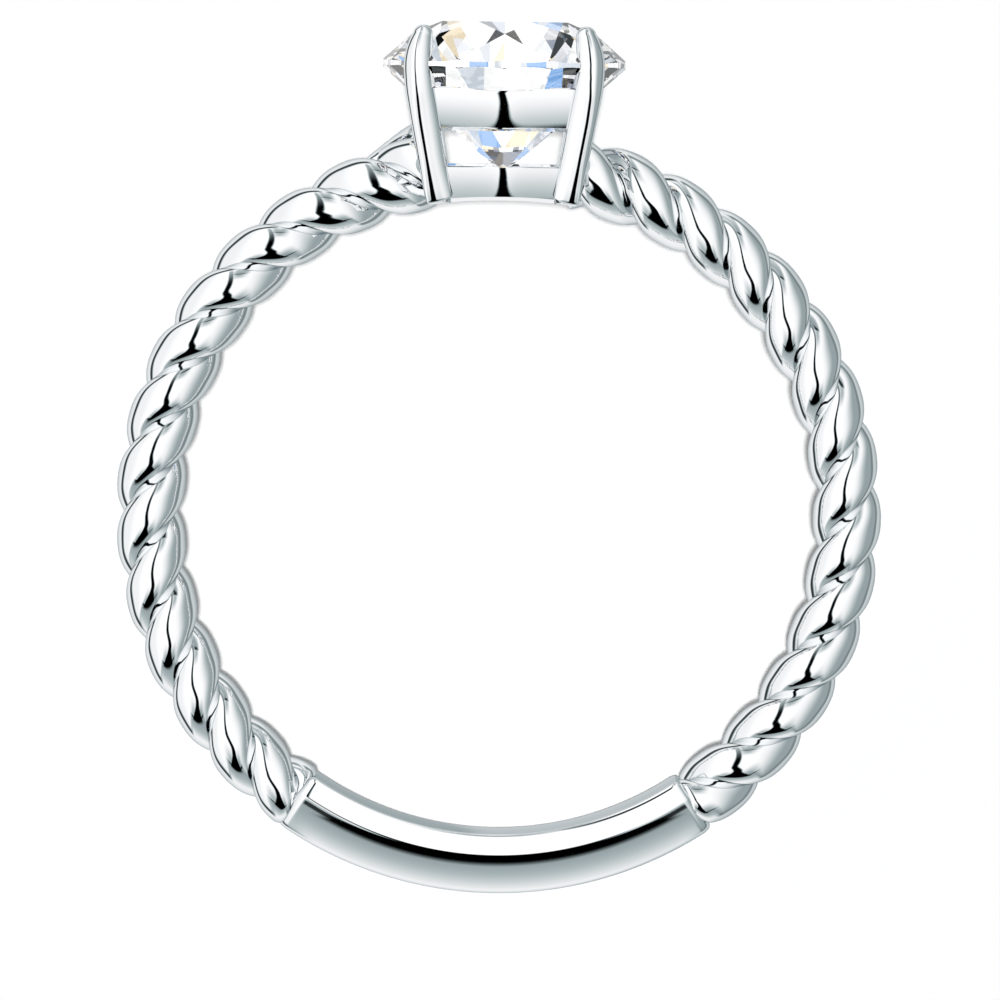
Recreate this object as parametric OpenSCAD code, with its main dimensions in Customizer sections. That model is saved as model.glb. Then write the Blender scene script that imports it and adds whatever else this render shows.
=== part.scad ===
// Silver solitaire ring. A two-strand rope band runs from each side of the setting to a
// smooth plate at the back. The setting has four round prongs, an upper rail and a base
// rail, and it holds a round brilliant-cut stone. Band and setting are one soldered solid.
// Lengths are in millimetres and angles in degrees. The ring is shaped upright in its own
// plane: X to the right, Y towards the stone, Z along the finger, angles clockwise from Y.
// It is then laid on its side as it rests by itself, with the stone's girdle and the edge
// of the back plate on the surface, so the setting's end is lifted a little.

/* [Finger opening] */
// Diameter of the opening inside the band
finger_d = 16.94; // [15:0.02:20]

/* [Rope band] */
// Diameter over both strands of the rope
rope_d = 1.84; // [1.6:0.02:2.1]
// Distance of a strand's centre from the rope's centre
strand_offset = 0.36; // [0.28:0.01:0.42]
// Width over which the groove between the strands is rounded
groove_blend = 0.15; // [0.05:0.01:0.25]
// Angle around the ring that one lobe takes, half a turn of the twist
lobe_pitch = 10; // [9:0.5:12]
// Angle from the stone to the first outer groove on the right
right_groove = 25; // [22:0.5:28]
// Angle from the stone to the first outer groove on the left
left_groove = 20.5; // [18:0.5:26]
// Share by which the rope is thicker where it meets the setting
shoulder_swell = 0.1; // [0:0.01:0.15]

/* [Back plate] */
// Angle that the plate takes around the ring
plate_angle = 70; // [50:1:90]
// Distance from the finger opening to the plate's inner face
plate_step = 0.13; // [0:0.01:0.25]
// Thickness of the plate
plate_thick = 1.69; // [1.5:0.01:1.9]
// Width of the plate at its widest
plate_w = 2; // [1.8:0.02:2.2]

/* [Setting] */
// Height of the base rail above the finger opening
base_rail_h = 0.91; // [0.8:0.01:1.1]
// Height of the window between the rails
window_h = 0.94; // [0.7:0.01:1]
// Height of the upper rail
upper_rail_h = 1.17; // [1:0.01:1.25]
// Wall of the two rails
rail_wall = 0.36; // [0.3:0.01:0.38]

/* [Stone] */
// Diameter of the stone
stone_d = 6.5; // [6:0.05:6.6]
// Height of the girdle's middle above the finger opening
girdle_lift = 3.62; // [3.55:0.01:3.75]
// Height of the girdle band
girdle_h = 0.23; // [0.15:0.01:0.3]
// Width of the table as a share of the stone's diameter
table_share = 0.56; // [0.53:0.01:0.62]
// Slope of the crown's main facets
crown_angle = 35.5; // [33:0.5:37]
// Slope of the pavilion's main facets
pavilion_angle = 40.6; // [40:0.1:41.5]
// Clear gap around the stone at the prongs' seats
seat_gap = 0.05; // [0.04:0.01:0.08]

/* [Hidden] */

// Rope
opening_r = finger_d / 2;
rope_r = rope_d / 2;
rope_path_r = opening_r + rope_r;
strand_r = rope_r - strand_offset;
twist_length = 2 * lobe_pitch * PI / 180 * rope_path_r;
strand_half_w = strand_r / cos(atan(2 * PI * strand_offset / twist_length));
crease_angle = acos(-strand_offset / strand_r);
strand_points = 9;
lobe_stations = 6;
rope_start = 13;
rope_end = 180 - plate_angle / 2 + 2;
swell_reach = 25;
rope_dome = 3;
rope_dome_scale = 0.55;

// Back plate: place of its widest line, and share of the width left at its inner face
plate_in_r = opening_r + plate_step;
plate_out_r = plate_in_r + plate_thick;
plate_wide_share = 0.44;
plate_wide_r = plate_in_r + plate_wide_share * plate_thick;
plate_inner_share = 0.9;
plate_chamfer = 0.08;
plate_arc_points = 10;
plate_stations = 28;
plate_dome = 1.5;
plate_dome_scale = 0.82;

// Heights of the rails' edges above the finger opening
upper_rail_low = base_rail_h + window_h;
upper_rail_high = upper_rail_low + upper_rail_h;

// Prong stations: half spacing of the prongs' centres, height above the finger opening and
// radius of the wire
prong_stations = [
    [1.62, -0.27, 0.37],
    [1.75, 0.20, 0.38],
    [1.87, 0.83, 0.38],
    [1.985, 1.47, 0.385],
    [2.12, 2.23, 0.395],
    [2.24, 2.97, 0.405],
    [2.29, 3.53, 0.395],
    [2.28, 3.83, 0.38],
    [2.24, 4.08, 0.345],
    [2.20, 4.27, 0.305],
    [2.17, 4.38, 0.27],
];
prong_sides = 14;
prong_turn = 9;
prong_dome = [0, 35, 65];
// A rail is four bars between the prongs: points of a bar, bow of its middle beyond the
// prongs' centres, rounding of the ridge there, and bevel of its edges
bar_points = 10;
bar_bow = 0.25;
bar_ridge = 0.45;
rail_bevel = 0.1;
// Outward slope of a rail's face at its foot, and how much of it is lost up to its top
rail_foot_slope = 0.34;
rail_slope_loss = 0.5;
// Shoulder arms: stations of a strand's end, as distance along X, height above the finger
// opening, distance from the ring's plane and radius. Only the left rear arm lies this high.
arm_stations = [
    [2.75, 1.15, 0.40, 0.55],
    [2.28, 1.35, 1.25, 0.45],
    [2.10, 1.39, 1.80, 0.36],
];
low_arm_drop = 0.25;
arm_sides = 12;
// The setting's underside is a flatter arc than the finger opening
underside_r = 14;
finger_sides = 200;

// Stone
stone_r = stone_d / 2;
girdle_mid = opening_r + girdle_lift;
girdle_top = girdle_mid + girdle_h / 2;
girdle_low = girdle_mid - girdle_h / 2;
table_r = table_share * stone_r;
table_height = girdle_top + (stone_r - table_r) * tan(crown_angle);
mains = 8;
main_step = 360 / mains;
half_step = main_step / 2;
star_share = 0.5;
star_r = table_r * cos(half_step) + star_share * (stone_r - table_r * cos(half_step));
star_height = girdle_top + (stone_r - star_r * cos(half_step)) * tan(crown_angle);
lower_half_share = 0.77;
ridge_r = stone_r * (1 - lower_half_share);
ridge_height = girdle_low - (stone_r - ridge_r * cos(half_step)) * tan(pavilion_angle);
culet_height = girdle_low - stone_r * tan(pavilion_angle);
girdle_sides = 4 * mains;

// Rest: the girdle's lowest corner and the widest line of the plate touch the surface
rest_tilt = atan((stone_r - plate_w / 2) / (girdle_low + plate_wide_r));
floor_drop = stone_r * cos(rest_tilt) - girdle_low * sin(rest_tilt);
y_high = table_height * cos(rest_tilt) + table_r * cos(half_step) * sin(rest_tilt);
y_low = -plate_out_r * cos(rest_tilt);

// A point of the ring at a clockwise angle, a radius and a distance from the ring's plane
function ring_point(angle, radius, z) = [radius * sin(angle), radius * cos(angle), z];

// Smooth rise from 0 to 1
function ease(t) = let (s = min(max(t, 0), 1)) s * s * (3 - 2 * s);

// Scale of a domed end: reached share at the end, 1 after the dome's length
function dome(distance, length, least) =
    let (t = min(max(distance / length, 0), 1)) least + (1 - least) * sqrt(1 - (1 - t) * (1 - t));

// Reach of one strand's ellipse from the rope's centre, in a direction whose cosine
// towards that strand and sine are given
function strand_reach(c, s) =
    let (
        pull = c * strand_offset / pow(strand_r, 2),
        curve = pow(c / strand_r, 2) + pow(s / strand_half_w, 2),
        inside = pow(strand_offset / strand_r, 2) - 1
    )
    (pull + sqrt(pull * pull - curve * inside)) / curve;

// Reach of the two fused strands, with the crease between them rounded
function rope_reach(angle) =
    let (
        near = strand_reach(abs(cos(angle)), sin(angle)),
        far = strand_reach(-abs(cos(angle)), sin(angle)),
        blend = max(groove_blend - (near - far), 0) / groove_blend
    )
    near + blend * blend * groove_blend / 4;

// Directions of the section's points, evenly spaced along each strand's ellipse
rope_directions = [
    for (strand = [0, 180], i = [0:strand_points - 1])
        let (t = crease_angle * (2 * i / strand_points - 1))
        strand + atan2(strand_half_w * sin(t), strand_offset + strand_r * cos(t))
];

// The rope's section at an angle of the ring: the strands turn half round in one lobe
function rope_ring(angle, groove, size) =
    let (turn = 180 * (angle - groove) / lobe_pitch + 90)
    [for (a = rope_directions)
        let (reach = size * rope_reach(a))
        ring_point(angle, rope_path_r + reach * cos(a + turn), reach * sin(a + turn))];

// Thickness of the rope along its length: swollen at the setting, domed at both ends
function rope_size(angle) =
    (1 + shoulder_swell * ease(1 - (abs(angle) - rope_start) / swell_reach))
    * dome(abs(angle) - rope_start, rope_dome, rope_dome_scale)
    * dome(rope_end - abs(angle), rope_dome / 2, rope_dome_scale);

// Outline of the plate's section as pairs of radius and distance from the ring's plane:
// an oval outside, and a nearly flat inner face with small chamfers
plate_outline = [
    for (i = [0:plate_arc_points])
        let (a = -90 + 180 * i / plate_arc_points)
        [plate_wide_r + (plate_out_r - plate_wide_r) * cos(a), plate_w / 2 * sin(a)],
    for (side = [1, -1])
        let (w = side * plate_w / 2 * plate_inner_share)
        each side > 0
            ? [[plate_in_r + plate_chamfer, w], [plate_in_r, w - plate_chamfer]]
            : [[plate_in_r, w + plate_chamfer], [plate_in_r + plate_chamfer, w]]
];

// The plate's section at an angle of the ring, drawn in towards its middle by a scale
function plate_ring(angle, size) =
    let (middle = (plate_in_r + plate_out_r) / 2)
    [for (p = plate_outline) ring_point(angle, middle + size * (p[0] - middle), size * p[1])];

// Closed skin over a list of rings of points, each ring turning from radius to Z
module skin(rings) {
    n = len(rings[0]);
    last = len(rings) - 1;
    sides = [
        for (k = [0:last - 1], i = [0:n - 1])
            let (a = k * n + i, b = k * n + (i + 1) % n)
            each [[a, a + n, b], [a + n, b + n, b]]
    ];
    caps = [[for (i = [0:n - 1]) i], [for (i = [n - 1:-1:0]) last * n + i]];
    polyhedron(points = [for (ring = rings) each ring], faces = concat(sides, caps), convexity = 8);
}

// One half of the rope, from the setting to the plate, on the right or on the left
module rope_half(from, to, groove) {
    steps = ceil((to - from) / lobe_pitch * lobe_stations);
    skin([
        for (k = [0:steps])
            let (angle = from + (to - from) * k / steps)
            rope_ring(angle, groove, rope_size(angle))
    ]);
}

// The smooth plate at the back
module back_plate() {
    first = 180 - plate_angle / 2;
    skin([
        for (k = [0:plate_stations])
            let (
                angle = first + plate_angle * k / plate_stations,
                to_end = min(angle - first, first + plate_angle - angle)
            )
            plate_ring(angle, dome(to_end, plate_dome, plate_dome_scale))
    ]);
}

// Hull over each pair of neighbours in a list of balls, each given as place and radius
module ball_chain(balls) {
    for (i = [0:len(balls) - 2])
        hull()
            for (ball = [balls[i], balls[i + 1]])
                translate(ball[0])
                    sphere(r = ball[1], $fn = arm_sides);
}

// Direction of the prong's wire at a station, as steps away from the stone's axis and up
function prong_heading(i) =
    let (
        a = prong_stations[max(i - 1, 0)],
        b = prong_stations[min(i + 1, len(prong_stations) - 1)],
        step = [sqrt(2) * (b[0] - a[0]), b[1] - a[1]]
    )
    step / norm(step);

// Round section of a prong's wire at a station, moved along the wire and made smaller
function prong_ring(i, x_side, z_side, ahead, radius) =
    let (
        station = prong_stations[i],
        heading = prong_heading(i),
        out = [x_side, 0, z_side] / sqrt(2),
        up = [0, 1, 0],
        centre = [x_side * station[0], opening_r + station[1], z_side * station[0]]
            + ahead * (heading[0] * out + heading[1] * up),
        u = heading[1] * out - heading[0] * up,
        v = cross(up, out)
    )
    [for (k = [0:prong_sides - 1])
        let (a = prong_turn + 360 * k / prong_sides)
        centre + radius * (cos(a) * u + sin(a) * v)];

// One of the four prongs, at the corner that the signs of X and Z give
module prong(x_side, z_side) {
    last = len(prong_stations) - 1;
    tip_r = prong_stations[last][2];
    skin([
        for (i = [0:last - 1]) prong_ring(i, x_side, z_side, 0, prong_stations[i][2]),
        for (a = prong_dome) prong_ring(last, x_side, z_side, tip_r * sin(a), tip_r * cos(a)),
    ]);
}

// End of one strand, from the rope to the side of a prong
module shoulder_arm(x_side, z_side) {
    base = opening_r - (x_side < 0 && z_side < 0 ? 0 : low_arm_drop);
    ball_chain([for (s = arm_stations) [[x_side * s[0], base + s[1], z_side * s[2]], s[3]]]);
}

// Half spacing of the prongs' centres at a height above the finger opening
function prong_spacing(height) = lookup(height, [for (s = prong_stations) [s[1], s[0]]]);

// Distance of a bar's face from the setting's axis at a place along the bar: furthest at
// the rounded ridge in its middle, and level with the prongs' centres at its ends
function bar_reach(x, half) =
    half + bar_bow * (1 - (norm([x, bar_ridge]) - bar_ridge) / (norm([half, bar_ridge]) - bar_ridge));

// Plan of a rail at a height above the finger opening, moved outwards by an offset
function rail_ring(height, offset) =
    let (half = prong_spacing(height))
    [for (side = [0, 90, 180, 270], i = [0:bar_points - 1])
        let (
            along = half * (2 * (i + 0.5) / bar_points - 1),
            x = along * (1 + offset / half),
            z = bar_reach(along, half) + offset
        )
        [x * cos(side) + z * sin(side), opening_r + height, z * cos(side) - x * sin(side)]];

// Bulge of a rail's face at a share of its height
function rail_bulge(share) = rail_foot_slope * share * (1 - rail_slope_loss * share);

// Rail that follows the prongs' flare between two heights, with a bulged outer face
module rail(low, high, wall) {
    rise = high - low;
    face = [
        [low, -rail_bevel],
        for (share = [0.1, 0.4, 0.7, 0.95]) [low + share * rise, rise * rail_bulge(share)],
        [high, rise * rail_bulge(1) - rail_bevel],
    ];
    difference() {
        skin([for (f = face) rail_ring(f[0], f[1])]);
        skin([for (h = [low - rail_bevel, high + rail_bevel]) rail_ring(h, -wall)]);
    }
}

// The setting before the stone's seat and the finger opening are cut
module setting_blank() {
    for (x_side = [-1, 1], z_side = [-1, 1]) {
        prong(x_side, z_side);
        shoulder_arm(x_side, z_side);
    }
    rail(upper_rail_low, upper_rail_high, rail_wall);
    rail(-rail_bevel, base_rail_h, rail_wall);
}

// The setting
module setting() {
    difference() {
        setting_blank();
        translate([0, opening_r - underside_r, 0])
            cylinder(r = underside_r, h = stone_d, center = true, $fn = finger_sides);
        stone_form(1 + seat_gap / stone_r);
    }
}

// Ring of points around the stone's axis at a height
function stone_ring(radius, height, count, start) = [
    for (i = [0:count - 1])
        let (a = start + 360 * i / count)
        [radius * sin(a), height, radius * cos(a)]
];

// Brilliant cut: table, star, kite, upper half, girdle, lower half and pavilion facets,
// with the table's flat edges facing along X and Z. The scale grows it about its girdle.
module stone_form(scale_by) {
    points = [
        each stone_ring(table_r, table_height, mains, half_step),
        each stone_ring(star_r, star_height, mains, main_step),
        each stone_ring(stone_r, girdle_top, girdle_sides, half_step),
        each stone_ring(stone_r, girdle_low, girdle_sides, half_step),
        each stone_ring(ridge_r, ridge_height, mains, main_step),
        [0, culet_height, 0],
    ];
    star = mains;
    top = star + mains;
    low = top + girdle_sides;
    ridge = low + girdle_sides;
    culet = ridge + mains;
    step = girdle_sides / mains;
    around = function (i, count) (i + count) % count;
    faces = [
        [for (i = [mains - 1:-1:0]) i],
        for (k = [0:mains - 1]) each [
            [k, around(k + 1, mains), star + k],
            [k, star + k, top + step * k, star + around(k - 1, mains)],
            [culet, ridge + around(k - 1, mains), low + step * k, ridge + k],
        ],
        for (k = [0:mains - 1], j = [0:step - 1])
            let (
                a = step * k + j,
                b = around(a + 1, girdle_sides)
            )
            each [[star + k, top + b, top + a], [ridge + k, low + a, low + b],
                  [top + a, top + b, low + b, low + a]],
    ];
    translate([0, girdle_mid, 0])
        scale(scale_by)
            translate([0, -girdle_mid, 0])
                polyhedron(points = points, faces = faces, convexity = 2);
}

// Lays the upright ring on its side, as it rests, over the origin
module at_rest() {
    translate([0, -(y_high + y_low) / 2, floor_drop])
        rotate([rest_tilt, 0, 0])
            children();
}

module silver_band_and_setting() {
    color([0.86, 0.87, 0.88])
        at_rest() {
            rope_half(rope_start, rope_end, right_groove);
            rope_half(-rope_end, -rope_start, -left_groove);
            back_plate();
            setting();
        }
}

module stone() {
    color([0.93, 0.95, 0.98, 0.6])
        at_rest()
            stone_form(1);
}

silver_band_and_setting();
stone();
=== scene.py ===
"""Silver solitaire ring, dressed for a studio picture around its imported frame.

Shapes are worked out with the ring upright in its own plane, in millimetres: X to the
right, Y towards the stone, Z along the finger, angles clockwise from Y. RestPose then lays
them on their side, as the ring rests by itself, in the frame's metres.
"""

import logging
import math
from dataclasses import dataclass
from enum import Enum
from typing import NamedTuple

import bmesh
import bpy
import numpy as np
from mathutils import Matrix, Vector

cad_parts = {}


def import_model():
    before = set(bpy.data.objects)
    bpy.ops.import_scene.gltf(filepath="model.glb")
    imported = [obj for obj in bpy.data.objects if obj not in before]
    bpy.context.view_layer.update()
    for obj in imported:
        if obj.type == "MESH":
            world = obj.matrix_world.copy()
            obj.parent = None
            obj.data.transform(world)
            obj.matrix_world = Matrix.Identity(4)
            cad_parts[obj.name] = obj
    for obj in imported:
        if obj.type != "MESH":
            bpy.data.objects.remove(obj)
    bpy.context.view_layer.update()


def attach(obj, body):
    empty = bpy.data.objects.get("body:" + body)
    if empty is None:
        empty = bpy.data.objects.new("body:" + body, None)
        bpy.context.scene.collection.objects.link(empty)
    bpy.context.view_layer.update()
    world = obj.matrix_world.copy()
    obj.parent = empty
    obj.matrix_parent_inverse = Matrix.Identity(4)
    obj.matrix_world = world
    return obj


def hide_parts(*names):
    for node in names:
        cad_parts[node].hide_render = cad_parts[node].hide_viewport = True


LOG = logging.getLogger("silver_ring")
MM = 0.001
ROOT_2 = math.sqrt(2)
WHITE = (1.0, 1.0, 1.0, 1.0)
TINY = 1e-6
SILVER_NODE = "silver_band_and_setting"
STONE_NODE = "stone"


class Side(Enum):
    """The half of the ring that a piece is on. The value is the sign of X."""

    LEFT = -1
    RIGHT = 1


class End(Enum):
    """The end of the finger opening that a piece is at. The value is the sign of Z."""

    FRONT = 1
    REAR = -1


@dataclass(frozen=True)
class RingSizes:
    """Driving sizes that the pieces share, in millimetres and degrees."""

    finger_d: float = 16.94
    rope_d: float = 1.84
    plate_step: float = 0.13
    plate_thick: float = 1.69
    plate_w: float = 2.0
    plate_wide_share: float = 0.44
    stone_d: float = 6.5
    girdle_lift: float = 3.62
    girdle_h: float = 0.23
    table_share: float = 0.56
    crown_angle: float = 35.5
    pavilion_angle: float = 40.6

    @property
    def opening_r(self) -> float:
        """Radius of the finger opening."""
        return self.finger_d / 2

    @property
    def rope_path_r(self) -> float:
        """Radius of the circle that the rope's middle follows."""
        return self.opening_r + self.rope_d / 2

    @property
    def plate_in_r(self) -> float:
        """Radius of the plate's inner face."""
        return self.opening_r + self.plate_step

    @property
    def plate_out_r(self) -> float:
        """Radius of the plate's outer face."""
        return self.plate_in_r + self.plate_thick

    @property
    def plate_wide_r(self) -> float:
        """Radius at which the plate is widest."""
        return self.plate_in_r + self.plate_wide_share * self.plate_thick

    @property
    def stone_r(self) -> float:
        """Radius of the stone."""
        return self.stone_d / 2

    @property
    def girdle_mid(self) -> float:
        """Height of the girdle's middle above the ring's centre."""
        return self.opening_r + self.girdle_lift

    @property
    def girdle_top(self) -> float:
        """Height of the girdle's upper points."""
        return self.girdle_mid + self.girdle_h / 2

    @property
    def girdle_low(self) -> float:
        """Height of the girdle's lower points."""
        return self.girdle_mid - self.girdle_h / 2

    @property
    def table_r(self) -> float:
        """Radius of the table's corners."""
        return self.table_share * self.stone_r

    @property
    def table_height(self) -> float:
        """Height of the table above the ring's centre."""
        return self.girdle_top + (self.stone_r - self.table_r) * tan_deg(self.crown_angle)


def tan_deg(angle: float) -> float:
    """Tangent of an angle in degrees."""
    return math.tan(math.radians(angle))


def ease(share: np.ndarray) -> np.ndarray:
    """Smooth rise: the share s, held between 0 and 1, becomes s squared times (3 - 2 s)."""
    held = np.clip(share, 0.0, 1.0)
    return held * held * (3 - 2 * held)


def dome(distance: np.ndarray, length: float) -> np.ndarray:
    """Quarter-circle rise from 0 at a piece's end to 1 at a length from it."""
    held = np.clip(distance / length, 0.0, 1.0)
    return np.sqrt(1 - (1 - held) ** 2)


def ring_points(angle: np.ndarray, radius: np.ndarray, z: np.ndarray) -> np.ndarray:
    """Points at clockwise angles from Y, radii and distances from the ring's plane.

    Args:
        angle: Angles in degrees.
        radius: Distances from the ring's centre.
        z: Distances along the finger.

    Returns:
        An array whose last axis holds X, Y and Z: radius times sine, radius times cosine, z.
    """
    turn = np.radians(angle)
    x, y = radius * np.sin(turn), radius * np.cos(turn)
    return np.stack(np.broadcast_arrays(x, y, z), axis=-1)


def smooth_line(table: np.ndarray, steps: np.ndarray, count: int, window: int) -> np.ndarray:
    """Smooth curve along stations: straight pieces between them, then a running average.

    Args:
        table: One row of values per station.
        steps: Length of the way from each station to the next.
        count: Number of points.
        window: Odd number of points over which the straight pieces are averaged.

    Returns:
        The values at points that are evenly spread along the curve, one row per point.
    """
    length = np.concatenate([[0], np.cumsum(steps)])
    at = np.linspace(length[0], length[-1], count)
    half = window // 2
    columns = []
    for column in np.asarray(table, dtype=float).T:
        padded = np.pad(np.interp(at, length, column), half, mode="reflect", reflect_type="odd")
        columns.append(np.convolve(padded, np.ones(window) / window, mode="valid"))
    return np.stack(columns, axis=1)


def tube(line: np.ndarray, sides: int = 40, end_points: int = 10) -> "Surface":
    """Round wire with domed ends.

    Args:
        line: Rows of X, Y, Z and radius. The line doesn't run along Y.
        sides: Points of a ring.
        end_points: Steps of a dome from its foot to its top.

    Returns:
        Its surface: circles of the line's radius across it, and at both ends circles whose
        radius falls with the cosine while they move on with the sine.
    """
    path, radius = line[:, :3], line[:, 3]
    along = np.gradient(path, axis=0)
    along /= np.linalg.norm(along, axis=1, keepdims=True)
    rise = np.linspace(0, math.pi / 2, end_points + 1)[1:-1]
    before = path[0] - radius[0] * np.sin(rise[::-1])[:, None] * along[0]
    after = path[-1] + radius[-1] * np.sin(rise)[:, None] * along[-1]
    path = np.concatenate([before, path, after])
    radius = np.concatenate([radius[0] * np.cos(rise[::-1]), radius, radius[-1] * np.cos(rise)])
    along = np.concatenate([np.repeat(along[:1], len(rise), axis=0), along,
                            np.repeat(along[-1:], len(rise), axis=0)])
    first = np.cross(along, [0.0, 1.0, 0.0])
    first /= np.linalg.norm(first, axis=1, keepdims=True)
    second = np.cross(along, first)
    turn = np.linspace(0, 2 * math.pi, sides, endpoint=False)[None, :, None]
    spoke = np.cos(turn) * first[:, None] + np.sin(turn) * second[:, None]
    return skin(path[:, None] + radius[:, None, None] * spoke)


@dataclass(frozen=True)
class RestPose:
    """How the upright ring is laid on its side.

    It rests on the girdle's lowest corner and on the widest line of the plate, so it is
    turned about X by the angle whose tangent is their difference in reach over their
    distance, lifted until both touch the floor, and centred over the origin.
    """

    sizes: RingSizes

    @property
    def tilt(self) -> float:
        """Turn about X, in radians."""
        s = self.sizes
        return math.atan((s.stone_r - s.plate_w / 2) / (s.girdle_low + s.plate_wide_r))

    @property
    def centre(self) -> Vector:
        """The ring's centre in the frame, in metres."""
        s = self.sizes
        table_edge = s.table_r * math.cos(math.pi / 8)
        y_high = s.table_height * math.cos(self.tilt) + table_edge * math.sin(self.tilt)
        y_low = -s.plate_out_r * math.cos(self.tilt)
        lift = s.stone_r * math.cos(self.tilt) - s.girdle_low * math.sin(self.tilt)
        return Vector((0.0, -(y_high + y_low) / 2, lift)) * MM

    @property
    def axes(self) -> Matrix:
        """The turn as a matrix whose columns are the ring's own X, Y and Z."""
        return Matrix.Rotation(self.tilt, 3, "X")

    def lay(self, points: np.ndarray) -> np.ndarray:
        """Carries points from the ring's own millimetres to the frame's metres."""
        return points @ np.array(self.axes).T * MM + np.array(self.centre)


@dataclass
class Surface:
    """A mesh worked out in the ring's own millimetres.

    Attributes:
        points: One row per corner.
        faces: Lists of corner numbers, one per face.
        shelter: How deep in a groove each corner lies, from 0 to 1; the silver is darkened
        there as painted shade.
    """

    points: np.ndarray
    faces: list[list[int]]
    shelter: np.ndarray | None = None

    def outward(self) -> "Surface":
        """Turns the faces round if they face inwards.

        Returns:
            This surface. The volume is a sixth of the sum, over a fan of triangles in each
            face, of one corner's dot product with the cross product of the other two; its
            sign says which way the faces look.
        """
        fans = [(f[0], f[i], f[i + 1]) for f in self.faces for i in range(1, len(f) - 1)]
        corners = self.points[np.array(fans)]
        volume = np.einsum("ij,ij->", corners[:, 0], np.cross(corners[:, 1], corners[:, 2]))
        if volume < 0:
            self.faces = [face[::-1] for face in self.faces]
        return self


def skin(rings: np.ndarray, shelter: np.ndarray | None = None, loop: bool = False) -> Surface:
    """Closed skin over rings of points.

    Args:
        rings: Points in an array of rings by points of a ring by three.
        shelter: Depth in a groove for each of these points.
        loop: True if the last ring joins the first, otherwise both ends are closed with fans.

    Returns:
        The surface, with its faces outwards.
    """
    count, around = rings.shape[:2]
    index = np.arange(count * around).reshape(count, around)
    first = index if loop else index[:-1]
    after = np.roll(index, -1, axis=0) if loop else index[1:]
    quads = [first, after, np.roll(after, -1, axis=1), np.roll(first, -1, axis=1)]
    faces = np.stack(quads, axis=-1).reshape(-1, 4).tolist()
    points = rings.reshape(-1, 3)
    depth = None if shelter is None else shelter.reshape(-1)
    if not loop:
        ends = np.stack([rings[0].mean(axis=0), rings[-1].mean(axis=0)])
        start, end = count * around, count * around + 1
        points = np.concatenate([points, ends])
        faces += [[start, a, b] for a, b in zip(index[0], np.roll(index[0], -1))]
        faces += [[end, b, a] for a, b in zip(index[-1], np.roll(index[-1], -1))]
        if depth is not None:
            depth = np.concatenate([depth, [0.0, 0.0]])
    return Surface(points, faces, depth).outward()


def add_object(name: str, data: bpy.types.ID) -> bpy.types.Object:
    """Makes an object that shows some data, and puts it into the scene."""
    made = bpy.data.objects.new(name, data)
    bpy.context.scene.collection.objects.link(made)
    return made


@dataclass
class Assembly:
    """A part of the ring: how the ring is laid down, and the part's material.

    Each kind adds its own sizes and builds its pieces.
    """

    pose: RestPose
    finish: bpy.types.Material

    @property
    def sizes(self) -> RingSizes:
        """The sizes that the parts share."""
        return self.pose.sizes

    def build(self) -> list[bpy.types.Object]:
        """Makes the part's pieces."""
        raise NotImplementedError

    def add_piece(self, name: str, surface: Surface, sharp_deg: float | None) -> bpy.types.Object:
        """Puts a surface into the scene as a piece that rides on the ring.

        Args:
            name: The piece's name.
            surface: Its mesh in the ring's own millimetres.
            sharp_deg: Edges that turn by more than this stay sharp; None keeps facets flat.

        Returns:
            The new object.
        """
        mesh = bpy.data.meshes.new(name)
        mesh.from_pydata(self.pose.lay(surface.points).tolist(), [], surface.faces)
        mesh.materials.append(self.finish)
        if surface.shelter is not None:
            layer = mesh.attributes.new("shelter", "FLOAT", "POINT")
            layer.data.foreach_set("value", surface.shelter.astype(np.float32))
        mesh.polygons.foreach_set("use_smooth", [sharp_deg is not None] * len(mesh.polygons))
        if sharp_deg is not None:
            mesh.set_sharp_from_angle(angle=math.radians(sharp_deg))
        mesh.update()
        piece = add_object(name, mesh)
        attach(piece, "root")
        return piece


class Wire:
    """A number in a shader graph. Arithmetic on it adds Math nodes."""

    def __init__(self, graph: "Graph", socket: bpy.types.NodeSocket) -> None:
        """Wraps a socket.

        Args:
            graph: The graph that the socket belongs to.
            socket: An output socket that gives a number.
        """
        self.graph = graph
        self.socket = socket

    def math(self, operation: str, *others: "Wire | float",
             first: float | None = None) -> "Wire":
        """Adds a Math node.

        Args:
            operation: The node's operation.
            others: Values after this one.
            first: A number to put before this one instead.

        Returns:
            The node's result.
        """
        values = [self, *others] if first is None else [first, self]
        inputs = {i: v.socket if isinstance(v, Wire) else v for i, v in enumerate(values)}
        node = self.graph.add("ShaderNodeMath", {"operation": operation}, inputs)
        return Wire(self.graph, node.outputs[0])

    def __add__(self, other: "Wire | float") -> "Wire":
        """Sum."""
        return self.math("ADD", other)

    __radd__ = __add__

    def __sub__(self, other: "Wire | float") -> "Wire":
        """Difference."""
        return self.math("SUBTRACT", other)

    def __rsub__(self, other: float) -> "Wire":
        """Difference with this value taken away."""
        return self.math("SUBTRACT", first=other)

    def __mul__(self, other: "Wire | float") -> "Wire":
        """Product."""
        return self.math("MULTIPLY", other)

    def __truediv__(self, other: "Wire | float") -> "Wire":
        """Quotient."""
        return self.math("DIVIDE", other)

    def __abs__(self) -> "Wire":
        """Size without sign."""
        return self.math("ABSOLUTE")

    def rise(self, low: "Wire | float", high: "Wire | float") -> "Wire":
        """Adds a smooth step.

        Args:
            low: Value at which it is still 0.
            high: Value from which it is 1.

        Returns:
            The step's height at this value.
        """
        inputs = {"Value": self.socket}
        for name, value in (("From Min", low), ("From Max", high)):
            inputs[name] = value.socket if isinstance(value, Wire) else value
        node = self.graph.add("ShaderNodeMapRange", {"interpolation_type": "SMOOTHSTEP"}, inputs)
        return Wire(self.graph, node.outputs["Result"])


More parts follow.
